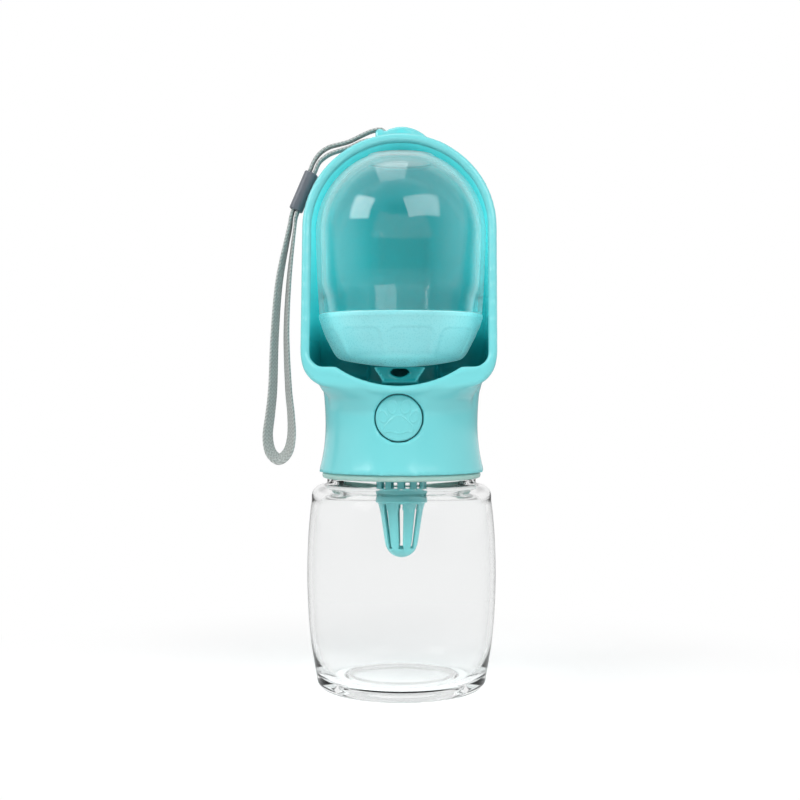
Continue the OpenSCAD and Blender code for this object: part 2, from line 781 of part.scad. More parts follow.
// Flat band swept along its route: rings of 8 points, turned by the band's lean
module wrist_strap() {
    edge = strap_w / 2;
    face = strap_t / 2;
    section = [[edge, -0.3], [edge, 0.3], [edge - 0.6, face], [0.6 - edge, face],
               [-edge, 0.3], [-edge, -0.3], [0.6 - edge, -face], [edge - 0.6, -face]];
    line = smooth_curve(strap_route, 2);
    last = len(line) - 1;
    color(STRAP_GREY) ring_tube([for (i = [0 : last]) let (
        a = line[max(i - 1, 0)],
        b = line[min(i + 1, last)],
        ahead = unit([b[0] - a[0], 0, b[1] - a[1]]),
        across = cross(ahead, [0, 1, 0]),
        wide = [0, 1, 0] * cos(line[i][2]) + across * sin(line[i][2]),
        thick = cross(ahead, wide)
    ) [for (p = section) [line[i][0], strap_y, line[i][1]] + wide * p[0] + thick * p[1]]]);
}

bottle();
neck_gasket();
head_shell();
neck_insert();
valve_body();
valve_end_cap();
stem_seal();
outlet_seal();
return_spring();
button_cap();
valve_stem();
valve_plug();
filter_basket();
filter_seal();
food_lid();
lid_seal();
food_dome();
strap_slider();
wrist_strap();
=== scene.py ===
import math

import bmesh
import bpy
import numpy as np
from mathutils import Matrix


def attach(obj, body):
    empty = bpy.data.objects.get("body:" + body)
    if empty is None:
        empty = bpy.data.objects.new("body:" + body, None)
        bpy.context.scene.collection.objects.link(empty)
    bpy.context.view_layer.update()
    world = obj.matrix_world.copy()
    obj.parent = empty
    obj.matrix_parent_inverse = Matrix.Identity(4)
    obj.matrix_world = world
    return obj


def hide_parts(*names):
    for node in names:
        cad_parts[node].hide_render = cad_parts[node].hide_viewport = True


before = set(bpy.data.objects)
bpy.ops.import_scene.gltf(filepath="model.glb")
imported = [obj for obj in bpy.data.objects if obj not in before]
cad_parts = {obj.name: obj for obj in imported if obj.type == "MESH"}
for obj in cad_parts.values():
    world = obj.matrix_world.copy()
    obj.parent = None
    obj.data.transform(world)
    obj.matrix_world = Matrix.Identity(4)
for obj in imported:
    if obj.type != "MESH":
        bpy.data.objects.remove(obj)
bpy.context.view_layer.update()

# ---------------------------------------------------------------------------
# Bottle: a clear blown barrel with a thick foot, a pushed-up base and a
# screw thread on its mouth. One wall of clear plastic about 2 mm thick.

MM = 0.001


def skin(name, points, body, slot, round_u=True, round_v=False, pole_start=False, pole_end=False,
         drop=None, uv=None):
    """A mesh from a grid of points [row, column]: each cell of the grid is one quad. round_u joins
    the last column to the first, round_v the last row to the first. A pole row is one point in a
    fan. drop is a mask of the cells that are left out, and uv an array [row, column, 2]. The faces
    are turned outwards: the volume they enclose, seen from their middle, is kept positive."""
    rows, columns = points.shape[:2]
    first, last = int(pole_start), rows - int(pole_end)
    ring = points[first:last].reshape(-1, 3)
    count = last - first
    r = np.arange(count if round_v else count - 1)
    c = np.arange(columns if round_u else columns - 1)
    rr, cc = np.meshgrid(r, c, indexing="ij")
    next_r, next_c = (rr + 1) % count, (cc + 1) % columns
    quads = np.stack([rr * columns + cc, rr * columns + next_c,
                      next_r * columns + next_c, next_r * columns + cc], -1)
    if drop is not None:
        quads = quads[~drop[: quads.shape[0], : quads.shape[1]]]
    faces = quads.reshape(-1, 4).tolist()
    where = [ring]
    ends = np.arange(columns)
    if pole_start:
        top = len(ring)
        where.append(points[0, :1])
        faces += np.stack([np.full(columns, top), (ends + 1) % columns, ends], -1).tolist()
    if pole_end:
        top = len(ring) + int(pole_start)
        where.append(points[-1, :1])
        base = (count - 1) * columns
        faces += np.stack([np.full(columns, top), base + ends, base + (ends + 1) % columns],
                          -1).tolist()
    where = np.concatenate(where)
    corners = where[np.array([face[:3] for face in faces])] - where.mean(0)
    if np.einsum("ij,ij->i", corners[:, 0], np.cross(corners[:, 1], corners[:, 2])).sum() < 0:
        faces = [face[::-1] for face in faces]
    mesh = bpy.data.meshes.new(name)
    mesh.from_pydata(where.tolist(), [], faces)
    mesh.update()
    if uv is not None:
        flat = uv.reshape(-1, 2)
        loops = np.zeros(len(mesh.loops), np.int32)
        mesh.loops.foreach_get("vertex_index", loops)
        layer = mesh.uv_layers.new(name="along")
        layer.data.foreach_set("uv", flat[loops].astype(np.float32).ravel())
    mesh.polygons.foreach_set("use_smooth", np.ones(len(mesh.polygons), bool))
    piece = bpy.data.objects.new(name, mesh)
    bpy.context.scene.collection.objects.link(piece)
    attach(piece, body)
    return piece


def rounded(corners, steps=5):
    """An outline through corners given as (x, y, radius): each corner is cut back by its radius
    along both of its sides and replaced by a quadratic curve from cut to cut, with the corner as
    its handle."""
    corners = [np.array(c, float) for c in corners]
    earlier, later = [corners[0]] + corners[:-1], corners[1:] + [corners[-1]]
    out = []
    for before, here, after in zip(earlier, corners, later):
        p, radius = here[:2], here[2]
        if radius <= 0:
            out.append(p)
            continue
        a = p + (before[:2] - p) * min(0.5, radius / np.linalg.norm(before[:2] - p))
        b = p + (after[:2] - p) * min(0.5, radius / np.linalg.norm(after[:2] - p))
        t = np.linspace(0, 1, steps + 1)[:, None]
        out.extend((1 - t) ** 2 * a + 2 * t * (1 - t) * p + t ** 2 * b)
    return np.array(out)


def smooth_line(points, steps):
    """The Catmull-Rom curve through points, with so many steps from each to the next: a cubic whose
    slope at a point is half the way from the point before it to the one after it."""
    p = np.array(points, float)
    q = np.concatenate([p[:1], p, p[-1:]])
    t = (np.arange(steps) / steps)[None, :, None]
    a, b, c, d = (q[k:len(q) - 3 + k][:, None, :] for k in range(4))
    curve = 0.5 * (2 * b + (c - a) * t + (2 * a - 5 * b + 4 * c - d) * t ** 2
                   + (3 * b - a - 3 * c + d) * t ** 3)
    return np.concatenate([curve.reshape(-1, p.shape[1]), p[-1:]])


def arc_line(cx, cy, r, a0, a1, steps):
    """Points on a circle about (cx, cy) from angle a0 to a1, in degrees."""
    a = np.radians(np.linspace(a0, a1, steps + 1))
    return np.stack([cx + r * np.cos(a), cy + r * np.sin(a)], -1)


def lathe(name, outline, body, slot, columns=192, y=0.0, relief=None, closed=False, **more):
    """Turns an outline of (radius, height) about the upright line through (0, y). relief(angle,
    radius, height) is added to the radius. A closed outline is a ring's section; an open one starts
    and ends on the axis, at a pole."""
    outline = np.array(outline, float)
    angle = np.arange(columns) / columns * 2 * math.pi
    radius = np.repeat(outline[:, :1], columns, 1)
    height = np.repeat(outline[:, 1:], columns, 1)
    turn = np.repeat(angle[None, :], len(outline), 0)
    if relief is not None:
        radius = radius + relief(turn, radius, height)
    points = np.stack([radius * np.cos(turn), radius * np.sin(turn) + y, height], -1) * MM
    return skin(name, points, body, slot, round_v=closed, pole_start=not closed,
                pole_end=not closed, **more)


def fade(x, low, high):
    """0 below low, 1 above high, and between them the smooth step 3t^2 - 2t^3 of t, the share of
    the way."""
    t = np.clip((x - low) / (high - low), 0, 1)
    return t * t * (3 - 2 * t)


mouth_r = 25.8
thread_lead = 4.2
thread_height = 0.95
thread_start = 87.4


def thread_relief(turn, radius, height):
    """A rounded ridge on the outside of the mouth that climbs thread_lead a turn and fades at both
    ends: its height falls with the distance from the helix at which climb is 0."""
    climb = (height - thread_start) - thread_lead * turn / (2 * math.pi)
    from_helix = np.mod(climb + thread_lead / 2, thread_lead) - thread_lead / 2
    ridge = 1 - fade(np.abs(from_helix), 0.45, 1.15)
    whole_turns = fade(height, 86.6, 87.8) * (1 - fade(height, 93.6, 94.8))
    outside = (np.abs(radius - mouth_r) < 0.25) & (height > 86)
    return thread_height * ridge * whole_turns * outside


barrel = smooth_line([(34.1, 6.4), (34.9, 11), (36.1, 19), (37.1, 30), (37.6, 45), (37.3, 58),
                      (36.6, 68), (35.8, 74.6)], 7)
mouth_outside = np.stack([np.full(60, mouth_r), np.linspace(84.3, 95.8, 60)], -1)
bottle_outline = np.concatenate([
    [(0, 3.2), (8, 3.16), (14, 3.0)],
    rounded([(19, 2.8, 0), (21, 2.2, 1.2), (22.4, 0, 1.0), (28.6, 0, 0)], 5)[1:],
    arc_line(29.5, 4.2, 4.2, -78, -12, 10),
    barrel,
    arc_line(31.4, 76.4, 4.4, 2, 88, 14),
    rounded([(30.4, 80.9, 0), (29.6, 81.2, 0.7), (29.6, 83.6, 0.5), (mouth_r, 83.6, 0.4),
             (mouth_r, 84.2, 0)], 4)[1:],
    mouth_outside,
    rounded([(mouth_r, 96, 0), (mouth_r, 96.5, 0.5), (23.5, 96.5, 0.5), (23.5, 95, 0)], 4)[1:],
    smooth_line([(23.5, 90), (23.5, 84), (23.6, 82.4), (25.4, 80.2), (29.6, 78.6), (32.6, 75.8),
                 (34.3, 69), (35.3, 58), (35.7, 46), (35.1, 30), (34, 18), (32, 10), (29.4, 5.8),
                 (26, 4)], 8),
    smooth_line([(22.6, 3.9), (21.2, 4.9), (19, 5.4), (12, 5.7), (4, 5.8), (0, 5.8)], 3),
])
bottle = lathe("bottle_barrel", bottle_outline, "bottle", "clear_plastic", columns=256,
               relief=thread_relief)
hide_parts("bottle")


def group_socket(group, name, direction, kind, value=None):
    """A named input or output of a shader node group, with its default value."""
    socket = group.interface.new_socket(name=name, in_out=direction, socket_type=kind)
    if value is not None:
        socket.default_value = value
    return socket


def math_node(tree, operation, *values):
    """The output of a math node in the given tree, fed by sockets or plain numbers."""
    node = tree.nodes.new("ShaderNodeMath")
    node.operation = operation
    for k, value in enumerate(values):
        if isinstance(value, (int, float)):
            node.inputs[k].default_value = value
        else:
            tree.links.new(value, node.inputs[k])
    return node.outputs[0]


def mix_colour(tree, factor, a, b):
    """Colour a turning to colour b as the factor goes from 0 to 1. a may be a socket."""
    node = tree.nodes.new("ShaderNodeMix")
    node.data_type = "RGBA"
    tree.links.new(factor, node.inputs["Factor"])
    if isinstance(a, tuple):
        node.inputs["A"].default_value = (*a, 1)
    else:
        tree.links.new(a, node.inputs["A"])
    node.inputs["B"].default_value = (*b, 1)
    return node.outputs["Result"]


def moulding_skin():
    """The faint skin of an injection moulding: slow waviness and fine pitting as a height, with
    the roughness rising a little where the pitting is strong."""
    pitting_share = 0.04
    roughness_drift = 0.08
    group = bpy.data.node_groups.new("moulding_skin", "ShaderNodeTree")
    group_socket(group, "Waviness", "INPUT", "NodeSocketFloat", 1.0)
    group_socket(group, "Pitting", "INPUT", "NodeSocketFloat", 1.0)
    group_socket(group, "Gloss roughness", "INPUT", "NodeSocketFloat", 0.15)
    group_socket(group, "Roughness", "OUTPUT", "NodeSocketFloat")
    group_socket(group, "Height", "OUTPUT", "NodeSocketFloat")
    group_socket(group, "Mottle", "OUTPUT", "NodeSocketFloat")
    n, link = group.nodes, group.links.new
    given, made, place = (n.new(k) for k in (
        "NodeGroupInput", "NodeGroupOutput", "ShaderNodeTexCoord"))
    slow, fine = n.new("ShaderNodeTexNoise"), n.new("ShaderNodeTexNoise")
    for noise, scale, detail in ((slow, 45, 1.5), (fine, 1600, 2)):
        noise.inputs["Scale"].default_value = scale
        noise.inputs["Detail"].default_value = detail
        link(place.outputs["Object"], noise.inputs["Vector"])
    wave = math_node(group, "MULTIPLY", slow.outputs["Fac"], given.outputs["Waviness"])
    pits = math_node(group, "MULTIPLY", fine.outputs["Fac"], given.outputs["Pitting"])
    pits = math_node(group, "MULTIPLY", pits, pitting_share)
    link(math_node(group, "ADD", wave, pits), made.inputs["Height"])
    link(math_node(group, "MULTIPLY_ADD", fine.outputs["Fac"], roughness_drift,
                   given.outputs["Gloss roughness"]), made.inputs["Roughness"])
    link(slow.outputs["Fac"], made.inputs["Mottle"])
    return group


SKIN = moulding_skin()


def moulded(name, colour, roughness=0.18, bump=0.00005, waviness=1.0, pitting=1.0, mottle=0.04,
            subsurface=0.0):
    """A plastic or rubber whose colour drifts a little and whose gloss has a moulding's skin."""
    material = bpy.data.materials.new(name)
    material.use_nodes = True
    n, link = material.node_tree.nodes, material.node_tree.links.new
    shader = n["Principled BSDF"]
    surface, lift = n.new("ShaderNodeGroup"), n.new("ShaderNodeBump")
    surface.node_tree = SKIN
    surface.inputs["Waviness"].default_value = waviness
    surface.inputs["Pitting"].default_value = pitting
    surface.inputs["Gloss roughness"].default_value = roughness
    darker = tuple(c * (1 - mottle) for c in colour)
    lighter = tuple(min(1, c * (1 + mottle)) for c in colour)
    link(mix_colour(material.node_tree, surface.outputs["Mottle"], darker, lighter),
         shader.inputs["Base Color"])
    link(surface.outputs["Roughness"], shader.inputs["Roughness"])
    lift.inputs["Strength"].default_value = 1
    lift.inputs["Distance"].default_value = bump
    link(surface.outputs["Height"], lift.inputs["Height"])
    link(lift.outputs["Normal"], shader.inputs["Normal"])
    shader.inputs["IOR"].default_value = 1.5
    if subsurface:
        shader.inputs["Subsurface Weight"].default_value = subsurface
        shader.inputs["Subsurface Radius"].default_value = (0.002, 0.004, 0.004)
        shader.inputs["Subsurface Scale"].default_value = 1
    return material


def clear_plastic(name, tint, edge, roughness, ior, shade, haze_and_painted_glow=0.0, edge_from=0.5, edge_to=1.0):
    """Clear plastic with a barely uneven surface. Where the wall is seen along, from edge_from to
    edge_to of the facing angle, its tint turns to the edge colour, a painted shade for the darker
    surroundings that the edge refracts, and a white haze of the given strength lies on it: partly a
    milky diffuse layer and partly a painted glow. Shadow rays pass through it, tinted by shade, so
    that nothing inside stands in a hard shadow."""
    # Strength of the painted glow that lights the wall where it is seen along
    painted_glow_strength = 0.22
    material = moulded(name, tint, roughness, bump=0.00003, pitting=0.2, mottle=0.0)
    tree = material.node_tree
    n, link = tree.nodes, tree.links.new
    shader = n["Principled BSDF"]
    shader.inputs["Transmission Weight"].default_value = 1
    shader.inputs["IOR"].default_value = ior
    facing, along = n.new("ShaderNodeLayerWeight"), n.new("ShaderNodeMapRange")
    facing.inputs["Blend"].default_value = 0.5
    along.interpolation_type = "SMOOTHSTEP"
    along.inputs["From Min"].default_value = edge_from
    along.inputs["From Max"].default_value = edge_to
    link(facing.outputs["Facing"], along.inputs["Value"])
    link(mix_colour(tree, along.outputs["Result"], tint, edge), shader.inputs["Base Color"])
    cloud, painted_edge_glow, haze_with_glow, veiled = (n.new(k) for k in (
        "ShaderNodeBsdfDiffuse", "ShaderNodeEmission", "ShaderNodeAddShader",
        "ShaderNodeMixShader"))
    # White of the haze: a milky diffuse layer plus a painted glow, which shines though it is no
    # lamp
    haze_and_glow_white = (0.80, 0.92, 0.92, 1)
    cloud.inputs["Color"].default_value = painted_edge_glow.inputs["Color"].default_value = haze_and_glow_white
    painted_edge_glow.inputs["Strength"].default_value = painted_glow_strength
    link(cloud.outputs["BSDF"], haze_with_glow.inputs[0])
    link(painted_edge_glow.outputs["Emission"], haze_with_glow.inputs[1])
    link(math_node(tree, "MULTIPLY", along.outputs["Result"], haze_and_painted_glow), veiled.inputs["Fac"])
    link(shader.outputs["BSDF"], veiled.inputs[1])
    link(haze_with_glow.outputs["Shader"], veiled.inputs[2])
    through, shaded, path = (n.new(k) for k in (
        "ShaderNodeBsdfTransparent", "ShaderNodeMixShader", "ShaderNodeLightPath"))
    through.inputs["Color"].default_value = (*shade, 1)
    link(path.outputs["Is Shadow Ray"], shaded.inputs["Fac"])
    link(veiled.outputs["Shader"], shaded.inputs[1])
    link(through.outputs["BSDF"], shaded.inputs[2])
    link(shaded.outputs["Shader"], n["Material Output"].inputs["Surface"])
    return material


# The bottle's grey edge colour is painted shade, for the darker surroundings its walls refract
# where they are seen along
bottle.data.materials.append(clear_plastic(
    "bottle_clear", (0.935, 0.94, 0.94), (0.72, 0.735, 0.735), 0.015, 1.2, shade=(0.9, 0.93, 0.93),
    edge_from=0.55, edge_to=1.0))

# ---------------------------------------------------------------------------
# Neck gasket: a flat ring of mint silicone on the bottle's collar. It seals
# the head's skirt and stays under it when the head is screwed off.

gasket_section = rounded([(26.3, 84.8, 0), (26.3, 83.65, 0.3), (31.2, 83.65, 0.5),
                          (31.7, 84.8, 0.6), (31.2, 85.95, 0.5), (26.3, 85.95, 0.3),
                          (26.3, 84.9, 0)], 5)
gasket = lathe("neck_gasket_ring", gasket_section, "gasket", "mint_silicone", closed=True)
gasket.data.materials.append(moulded("mint_silicone", (0.42, 0.66, 0.60), 0.38, mottle=0.06,
                                     subsurface=0.3))
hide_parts("neck_gasket")

# ---------------------------------------------------------------------------
# Head shell: waisted neck, drinking trough and hood, moulded in one piece of
# teal plastic that lets a little light through. The solid is copied, its edges
# are rounded as a mould leaves them, and the copy stands for it. Light and shade
# are painted on its inner faces: a deeper teal for light bounced between the
# walls, a painted shadow low in the trough and a painted glow for the light that
# comes through the thin wall.

teal = (0.19, 0.68, 0.71)
# Places on the solid, in metres as its mesh is
rim_slant = math.radians(7.5)
ledge_z = 0.125
foot_front, foot_back = -0.0225, -0.0145


def rows_of(piece, kind):
    """One row of three numbers for each vertex: its place, "co", or its normal, "normal"."""
    rows = np.zeros(len(piece.data.vertices) * 3)
    piece.data.vertices.foreach_get(kind, rows)
    return rows.reshape(-1, 3)


def softened(name, node, voxel, rounds, free):
    """A copy of a CAD node as an even mesh of small quads, each vertex then moved towards the mean
    of its neighbours and back out again a number of times, which rounds the edges only. free gives
    the share of each move that is made at a place."""
    inward, outward = 0.55, -0.5
    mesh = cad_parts[node].data.copy()
    mesh.name = name
    mesh.materials.clear()
    joined = bmesh.new()
    joined.from_mesh(mesh)
    bmesh.ops.remove_doubles(joined, verts=joined.verts, dist=1e-6)
    joined.to_mesh(mesh)
    joined.free()
    piece = bpy.data.objects.new(name, mesh)
    bpy.context.scene.collection.objects.link(piece)
    even = piece.modifiers.new("even", "REMESH")
    even.mode = "VOXEL"
    even.voxel_size = voxel
    even.use_smooth_shade = True
    seen_now = bpy.context.evaluated_depsgraph_get()
    made = bpy.data.meshes.new_from_object(piece.evaluated_get(seen_now))
    piece.modifiers.clear()
    piece.data = made
    made.name = name
    count = len(made.vertices)
    where = rows_of(piece, "co")
    edges = np.zeros(len(made.edges) * 2, np.int64)
    made.edges.foreach_get("vertices", edges)
    a, b = edges.reshape(-1, 2).T
    neighbours = np.bincount(a, minlength=count) + np.bincount(b, minlength=count)
    share = free(where)[:, None]
    for step in range(rounds * 2):
        total = np.stack([np.bincount(a, where[b, k], count) + np.bincount(b, where[a, k], count)
                          for k in range(3)], -1)
        move = (inward if step % 2 == 0 else outward) * share
        where = where + move * (total / np.maximum(neighbours, 1)[:, None] - where)
    made.vertices.foreach_set("co", where.ravel())
    made.update()
    made.polygons.foreach_set("use_smooth", np.ones(len(made.polygons), bool))
    return piece


def crisp_spout(where):
    """0.3 at the spout's small mouth, where edges stay crisp, and 1 a few millimetres away."""
    x, y, z = where.T
    wide = 1 - fade(np.abs(x), 0.0115, 0.0135)
    deep = fade(y, -0.0245, -0.023) * (1 - fade(y, -0.010, -0.006))
    tall = fade(z, 0.120, 0.1215) * (1 - fade(z, 0.1285, 0.130))
    return 1 - 0.7 * (wide * deep) * tall


def under_spout(where):
    """1 on the front of the block that carries the spout, below the spout's plate, and 0
    elsewhere."""
    x, y, z = where.T
    wide = 1 - fade(np.abs(x), 0.0078, 0.0084)
    tall = (1 - fade(z, 0.1207, 0.1216)) * fade(z, 0.1165, 0.118)
    return wide * tall * (y < foot_back) * (y > foot_front)


def inside_scoop(where, facing):
    """1 on the scoop's and trough's inner faces, whose normals point at the scoop's own middle
    line, and 0 on the outer ones. It fades out towards the trough's lip and the slanting rim."""
    x, y, z = where.T
    middle = np.stack([0 * x, 0 * y - 0.025, np.clip(z, ledge_z, 0.180)], -1) - where
    toward = (middle * facing).sum(-1) / np.linalg.norm(middle, axis=-1)
    behind_rim = fade(y - np.tan(rim_slant) * (z - ledge_z), -0.0305, -0.026)
    return fade(toward, 0.02, 0.25) * fade(z, 0.116, 0.121) * fade(y, -0.0305, -0.0285) * behind_rim


def paint(piece, name, values):
    """Keeps one number per vertex as the piece's own map of that name."""
    layer = piece.data.attributes.new(name, "FLOAT", "POINT")
    layer.data.foreach_set("value", np.ascontiguousarray(values, np.float32))


def paint_light_and_shade(material, deep, shade, glow):
    """Paints light and shade into the colour. Where the piece's map deep is 1, the colour is the
    deeper one, painted light bounced between the piece's own walls, and where its map shade is 1
    it is the darkest one, a painted shadow. Where its map glow is 1, the glow colour is added as
    an emission, a painted glow for light that comes through the thin wall. A map that the piece
    lacks is 0."""
    tree = material.node_tree
    shader = tree.nodes["Principled BSDF"]
    maps = {}
    for name in ("deep", "shade", "glow"):
        reader = tree.nodes.new("ShaderNodeAttribute")
        reader.attribute_name = name
        maps[name] = reader.outputs["Fac"]
    outer = shader.inputs["Base Color"].links[0].from_socket
    inner = mix_colour(tree, maps["deep"], outer, deep)
    tree.links.new(mix_colour(tree, maps["shade"], inner, shade), shader.inputs["Base Color"])
    tree.links.new(mix_colour(tree, maps["glow"], (0, 0, 0), glow), shader.inputs["Emission Color"])
    shader.inputs["Emission Strength"].default_value = 1
    return material


shell = softened("head_shell_moulding", "head_shell", voxel=0.00087, rounds=12, free=crisp_spout)
# Below the spout's plate the block's front is drawn back, so that the spout stands free
shell_points = rows_of(shell, "co")
shell_points[:, 1] += (foot_back - shell_points[:, 1]) * under_spout(shell_points)
shell.data.vertices.foreach_set("co", shell_points.ravel())
shell.data.update()
shell_points = rows_of(shell, "co")
scoop = inside_scoop(shell_points, rows_of(shell, "normal"))
x, y, z = shell_points.T
# Painted light and shade on the scoop's and trough's inner faces: deep is painted bounce light,
# shade a painted shadow low in the trough under the cup, glow a painted glow of light through the
# wall, strongest high up and towards the sides
paint(shell, "deep", scoop)
paint(shell, "shade", 0.8 * scoop * (1 - fade(z, 0.127, 0.150)))
paint(shell, "glow", scoop * fade(z, 0.135, 0.19)
      * (0.25 + 0.75 * fade(np.abs(x) - y, -0.016, 0.03)))
# The shell's own teal, with the colours of the painted bounce light, painted shadow and painted
# glow
shell.data.materials.append(paint_light_and_shade(
    moulded("teal_plastic", teal, 0.13, bump=0.00004, mottle=0.03),
    deep=(0.03, 0.68, 0.72), shade=(0.01, 0.24, 0.25), glow=(0.05, 0.31, 0.32)))
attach(shell, "head")
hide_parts("head_shell")

# ---------------------------------------------------------------------------
# Inside the neck: threaded insert, valve housing with its end cap, seals,
# spring and steel stem. They keep the solids and get their finishes here.

insert_plastic = moulded("insert_plastic", (0.60, 0.80, 0.77), 0.25)
white_silicone = moulded("white_silicone", (0.80, 0.83, 0.82), 0.42, mottle=0.05, subsurface=0.2)

# Drawn wire and turned stem: bright metal whose gloss is a little uneven
steel = moulded("drawn_steel", (0.62, 0.63, 0.65), 0.22, waviness=0.2, mottle=0.05)
steel.node_tree.nodes["Principled BSDF"].inputs["Metallic"].default_value = 1
for node, material in (("neck_insert", insert_plastic), ("valve_body", insert_plastic),
                       ("valve_end_cap", insert_plastic), ("stem_seal", white_silicone),
                       ("outlet_seal", white_silicone), ("filter_seal", white_silicone),
                       ("valve_plug", white_silicone), ("valve_stem", steel),
                       ("return_spring", steel)):
    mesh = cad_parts[node].data
    mesh.materials.clear()
    mesh.materials.append(material)

# ---------------------------------------------------------------------------
# Push button: a round cap of the same teal plastic, its face part of the
# neck's own cylinder, with a small step round it and a paw in low relief.

button_z = 107.8
button_r = 8.85
flat_r = 8.0
face_r = 30.75
skirt_end, hollow_end = -24.0, -28.0
paw_height = 0.24
paw_line = 0.26
paw_fill = 0.45


def line_mask(distance, half):
    """1 on a line, falling smoothly to 0 at a distance of 2.2 half widths from it."""
    return 1 - fade(np.abs(distance), half * 0.5, half * 2.2)


def paw_relief(x, z):
    """The height of a paw drawn in raised lines and filled a little lower: four tilted ovals for
    toes, each the line where its oval's equation is 1, and a pad between an arch, which falls with
    the distance from the middle, and a waved foot line."""
    height = np.zeros_like(x)
    for cx, cz, a, b, tilt in ((-6.0, 0.5, 1.45, 2.2, 22), (-2.55, 4.3, 1.75, 2.55, 8),
                               (2.55, 4.3, 1.75, 2.55, -8), (6.0, 0.5, 1.45, 2.2, -22)):
        c, s = math.cos(math.radians(tilt)), math.sin(math.radians(tilt))
        u, v = (x - cx) * c + (z - cz) * s, -(x - cx) * s + (z - cz) * c
        level = np.sqrt((u / a) ** 2 + (v / b) ** 2)
        height = np.maximum(height, line_mask((level - 1) * 0.5 * (a + b), paw_line))
        height = np.maximum(height, paw_fill * (1 - fade(level, 0.7, 1.1)))
    arch = 1.2 - 0.62 * (np.sqrt(x ** 2 + 0.8) - 0.89) ** 1.25
    foot = -5.6 - 0.35 * np.cos(x * 0.9)
    pad = np.minimum(np.minimum(arch - z, z - foot), 5.6 - np.abs(x))
    height = np.maximum(height, line_mask(pad - 0.2, paw_line))
    return np.maximum(height, paw_fill * fade(pad, 0.1, 0.7)) * paw_height


def button_skin():
    """Rings about the button's axis: out over the face, round its edge, back along the skirt to
    skirt_end and forwards into the hollow back, as far as hollow_end. A ring is (radius, depth, 0)
    where it bends with the face, the depth being behind the face's cylinder of radius face_r, and
    (radius, y, 1) where it is flat."""
    face = [(r, 0.0, 0) for r in np.linspace(0, flat_r, 54)]
    edge = [(flat_r + 0.55 * math.sin(a), 0.28 * (1 - math.cos(a)), 0)
            for a in np.linspace(0.2, math.pi / 2, 5)]
    edge += [(8.62, 0.32, 0), (8.70, 0.36, 0), (8.80, 0.50, 0), (button_r, 0.9, 0),
             (button_r, 2.0, 0)]
    back = [(button_r, skirt_end - 0.25, 1), (button_r - 0.25, skirt_end, 1), (7.6, skirt_end, 1),
            (7.35, skirt_end - 0.25, 1), (7.35, hollow_end + 0.25, 1), (7.1, hollow_end, 1),
            (4, hollow_end, 1), (0, hollow_end, 1)]
    radius, depth, flat = np.array(face + edge + back).T[:, :, None]
    angle = np.arange(192) / 192 * 2 * math.pi
    x, z = radius * np.cos(angle), radius * np.sin(angle)
    on_face = (radius <= flat_r) & (flat < 0.5)
    front = -np.sqrt(face_r ** 2 - x ** 2) + depth
    front = front - paw_relief(x, z) * on_face * (1 - fade(radius, flat_r - 0.4, flat_r))
    y = np.where(flat > 0.5, depth, front)
    return np.stack([x, y, z + button_z], -1) * MM


button = skin("button_cap_face", button_skin(), "button", "teal_plastic", pole_start=True,
              pole_end=True)
button.data.materials.append(moulded("button_plastic", tuple(c * 0.97 for c in teal), 0.22,
                                     bump=0.00004))
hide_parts("button_cap")

# ---------------------------------------------------------------------------
# Filter basket: a tapered cup of teal plastic with long slots, pushed on the
# spigot in the bottle's mouth. One wall, 1 mm thick.

filter_line = np.concatenate([
    rounded([(10, 95, 0), (10, 80.3, 0.2), (10.3, 80, 0.2), (10.3, 76.8, 0.4), (9.4, 76.3, 0.3),
             (8.6, 71, 2), (6.95, 59.6, 1.5), (6.55, 57.4, 0)], 5),
    arc_line(0, 58.4, 6.6, -12, -88, 12),
    [(0, 51.8)],
])
even = np.linspace(0, 1, 150)
corners = np.linspace(0, 1, len(filter_line))
filter_outline = np.stack([np.interp(even, corners, filter_line[:, k]) for k in (0, 1)], -1)

# Eight long slots in the cup and twelve small windows above its collar: in each ring of cells those
# are left out whose middle is near enough, along the ring, to the nearest slot's or window's middle
columns = 144
angle = np.arange(columns) / columns * 2 * math.pi - math.pi / 2
turn = ((np.arange(columns) + 0.5) / columns) * 360 - 90
radius, height = ((filter_outline[1:, k] + filter_outline[:-1, k])[:, None] / 2 for k in (0, 1))
off_slot = np.abs((turn + 22.5) % 45 - 22.5) * np.pi / 180 * radius
slots = (off_slot < 0.95) & (height > 55.4) & (height < 75.5)
off_window = np.abs(turn % 30 - 15) * np.pi / 180 * radius
windows = (off_window < 1.5) & (height > 81.6) & (height < 84.8)
basket_points = np.stack([
    filter_outline[:, :1] * np.cos(angle), filter_outline[:, :1] * np.sin(angle),
    np.repeat(filter_outline[:, 1:], columns, 1)], -1) * MM
basket = skin("filter_basket_cup", basket_points, "filter", "deep_teal_plastic", pole_end=True,
              drop=(slots | windows))
wall = basket.modifiers.new("wall", "SOLIDIFY")
wall.thickness = 1.0 * MM
wall.offset = -1
wall.use_even_offset = True
basket.data.materials.append(moulded("filter_plastic", (0.20, 0.66, 0.68), 0.2, mottle=0.04,
                                     subsurface=0.15))
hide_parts("filter_basket")

# ---------------------------------------------------------------------------
# Food cup's lid: a bowl-shaped teal moulding that closes the clear dome from
# below, with shallow grip panels round its side and a bore that takes the
# dome's spigot over a silicone seal.

cup_y = -8.0
side_r = 29.0
panel_depth = 0.32
panel_count = 9
panel_turn = math.radians(8 - 88)
panel_half = 8.6
panel_top = 141.9
panel_round = 3.0


